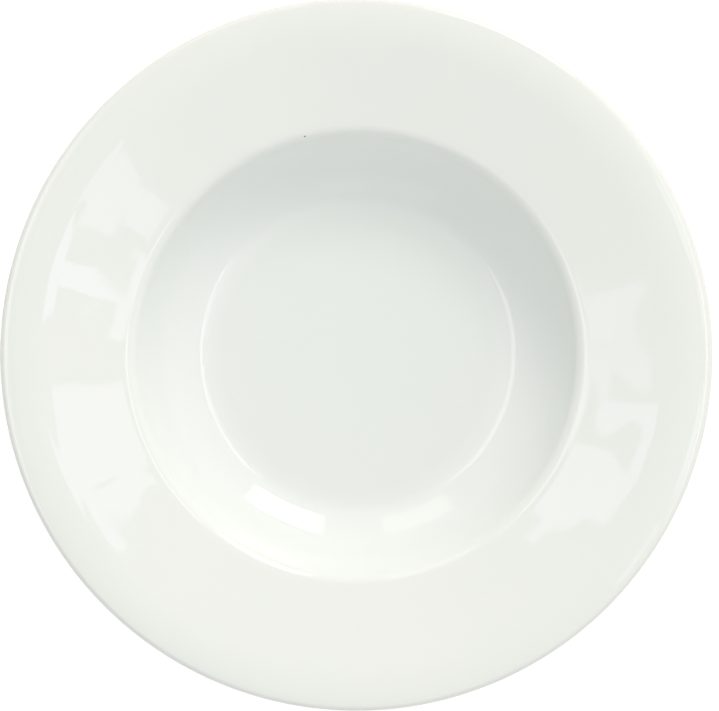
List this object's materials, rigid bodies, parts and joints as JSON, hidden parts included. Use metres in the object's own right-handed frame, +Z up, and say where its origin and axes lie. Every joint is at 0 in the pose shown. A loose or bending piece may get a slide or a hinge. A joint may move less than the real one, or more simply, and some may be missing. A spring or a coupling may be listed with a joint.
{
  "type": "pasta bowl",
  "caption": "Round wide-rimmed pasta bowl in white glazed porcelain, with a flat floor, a curved well and a bare foot ring, for serving pasta, soup or risotto.",
  "frame": {"origin": "centre of the foot ring, at the height of the table that it stands on", "axes": "+Z up along the bowl's own axis of revolution; X and Y are level"},
  "size_m": [0.3, 0.3, 0.0445],
  "materials": {
    "bare_porcelain": "fired white porcelain body, unglazed and ground smooth on the foot ring",
    "glaze": "clear gloss glaze over white porcelain, seen as a faintly green white"
  },
  "bodies": {
    "root": {"porcelain_body": "bare_porcelain", "glaze_coat": "glaze", "base_glaze": "glaze"}
  },
  "joints": []
}
